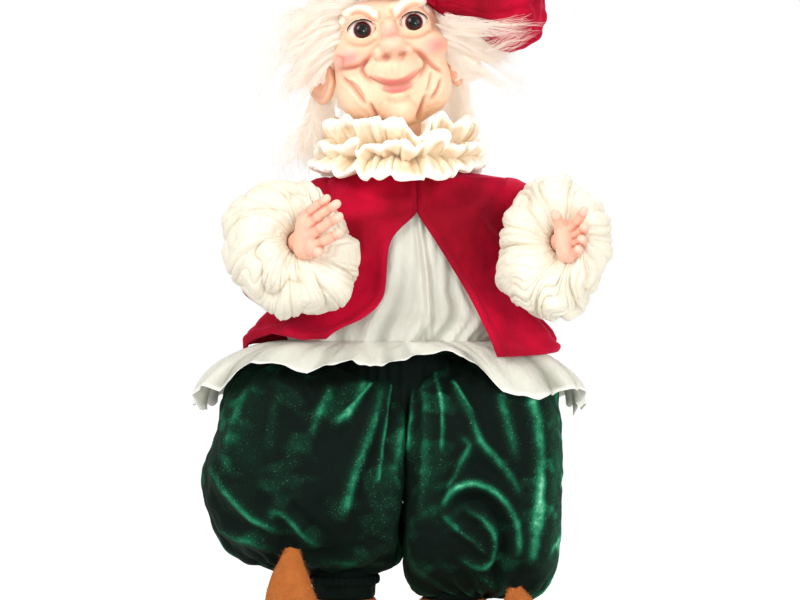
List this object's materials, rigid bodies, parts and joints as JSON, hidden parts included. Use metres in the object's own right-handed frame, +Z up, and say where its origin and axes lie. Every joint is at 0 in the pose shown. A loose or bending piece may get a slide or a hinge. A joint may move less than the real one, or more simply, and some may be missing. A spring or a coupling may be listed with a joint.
{
  "type": "posable elf doll",
  "caption": "Posable standing doll with a sculpted smiling head and hands, wired cloth body, floppy hat, ruff, open jacket, gathered blouse, ballooning pantaloons and pointed shoes.",
  "frame": {"origin": "on the floor under the middle of the doll's box", "axes": "+Z up, the doll faces -Y, its right side is at -X"},
  "size_m": [0.2564, 0.16, 0.4609],
  "materials": {
    "skin": "hand-painted cast resin, satin",
    "eye": "glossy",
    "hair": "fluffy mohair",
    "crimson_velvet": "crushed velvet",
    "green_velvet": "crushed velvet",
    "cream_organza": "crinkled organza",
    "sheer_organza": "sheer organza",
    "felt": "fuzzy felt",
    "sole": "stiff pressed felt",
    "muslin": "stuffed cotton",
    "elastic": "woven elastic",
    "wire": "annealed armature wire"
  },
  "bodies": {
    "torso": {"torso_body": "muslin", "spine_wire": "wire", "shoulder_wire": "wire", "hip_wire": "wire", "neck_post": "muslin", "blouse_body": "sheer_organza", "peplum": "sheer_organza", "jacket_back": "crimson_velvet", "jacket_front_right": "crimson_velvet", "jacket_front_left": "crimson_velvet", "ruff_band": "cream_organza", "ruff_lower": "cream_organza", "ruff_upper": "cream_organza", "pants_waistband": "green_velvet", "pants_seat": "green_velvet"},
    "head": {"head_shell": "skin", "eye_right": "eye", "eye_left": "eye", "hair_back": "hair", "hair_right": "hair", "hair_left": "hair", "hat_band": "crimson_velvet", "hat_crown": "crimson_velvet"},
    "upper_arm_right": {"sleeve_upper_right": "crimson_velvet", "upper_arm_right": "muslin", "upper_arm_wire_right": "wire"},
    "forearm_right": {"sleeve_lower_right": "crimson_velvet", "forearm_right": "muslin", "forearm_wire_right": "wire", "puff_right": "cream_organza", "wrist_band_right": "elastic"},
    "hand_right": {"hand_right": "skin"},
    "thigh_right": {"pants_leg_right": "green_velvet", "thigh_right": "muslin", "thigh_wire_right": "wire"},
    "shin_right": {"shin_right": "green_velvet", "shin_wire_right": "wire", "ankle_band_right": "elastic", "shoe_upper_right": "felt", "shoe_sole_right": "sole"},
    "upper_arm_left": {"sleeve_upper_left": "crimson_velvet", "upper_arm_left": "muslin", "upper_arm_wire_left": "wire"},
    "forearm_left": {"sleeve_lower_left": "crimson_velvet", "forearm_left": "muslin", "forearm_wire_left": "wire", "puff_left": "cream_organza", "wrist_band_left": "elastic"},
    "hand_left": {"hand_left": "skin"},
    "thigh_left": {"pants_leg_left": "green_velvet", "thigh_left": "muslin", "thigh_wire_left": "wire"},
    "shin_left": {"shin_left": "green_velvet", "shin_wire_left": "wire", "ankle_band_left": "elastic", "shoe_upper_left": "felt", "shoe_sole_left": "sole"}
  },
  "joints": [
    {"name": "head_turn", "type": "hinge", "parent": "torso", "child": "head", "pos_m": [-0.00202, 0.02256, 0.34], "axis": [0, 0, 1], "range_deg": [-45, 45]},
    {"name": "shoulder_raise_right", "type": "hinge", "parent": "torso", "child": "upper_arm_right", "pos_m": [-0.04902, 0.02456, 0.287], "axis": [0, 1, 0], "range_deg": [0, 45]},
    {"name": "elbow_bend_right", "type": "hinge", "parent": "upper_arm_right", "child": "forearm_right", "pos_m": [-0.08502, 0.02656, 0.243], "axis": [-1, 0, 0], "range_deg": [-15, 8]},
    {"name": "wrist_twist_right", "type": "hinge", "parent": "forearm_right", "child": "hand_right", "pos_m": [-0.06163, -0.05337, 0.26444], "axis": [0.272, -0.9294, 0.2494], "range_deg": [-60, 60]},
    {"name": "hip_swing_right", "type": "hinge", "parent": "torso", "child": "thigh_right", "pos_m": [-0.03702, 0.02056, 0.145], "axis": [-1, 0, 0], "range_deg": [-20, 35]},
    {"name": "knee_bend_right", "type": "hinge", "parent": "thigh_right", "child": "shin_right", "pos_m": [-0.03702, 0.02056, 0.084], "axis": [1, 0, 0], "range_deg": [0, 25]},
    {"name": "shoulder_raise_left", "type": "hinge", "parent": "torso", "child": "upper_arm_left", "pos_m": [0.06598, 0.02456, 0.287], "axis": [0, -1, 0], "range_deg": [0, 45]},
    {"name": "elbow_bend_left", "type": "hinge", "parent": "upper_arm_left", "child": "forearm_left", "pos_m": [0.10198, 0.02656, 0.243], "axis": [-1, 0, 0], "range_deg": [-15, 8]},
    {"name": "wrist_twist_left", "type": "hinge", "parent": "forearm_left", "child": "hand_left", "pos_m": [0.09291, -0.05604, 0.26516], "axis": [-0.1054, -0.9605, 0.2577], "range_deg": [-60, 60]},
    {"name": "hip_swing_left", "type": "hinge", "parent": "torso", "child": "thigh_left", "pos_m": [0.03098, 0.02056, 0.145], "axis": [-1, 0, 0], "range_deg": [-20, 35]},
    {"name": "knee_bend_left", "type": "hinge", "parent": "thigh_left", "child": "shin_left", "pos_m": [0.03098, 0.02056, 0.084], "axis": [1, 0, 0], "range_deg": [0, 25]}
  ]
}
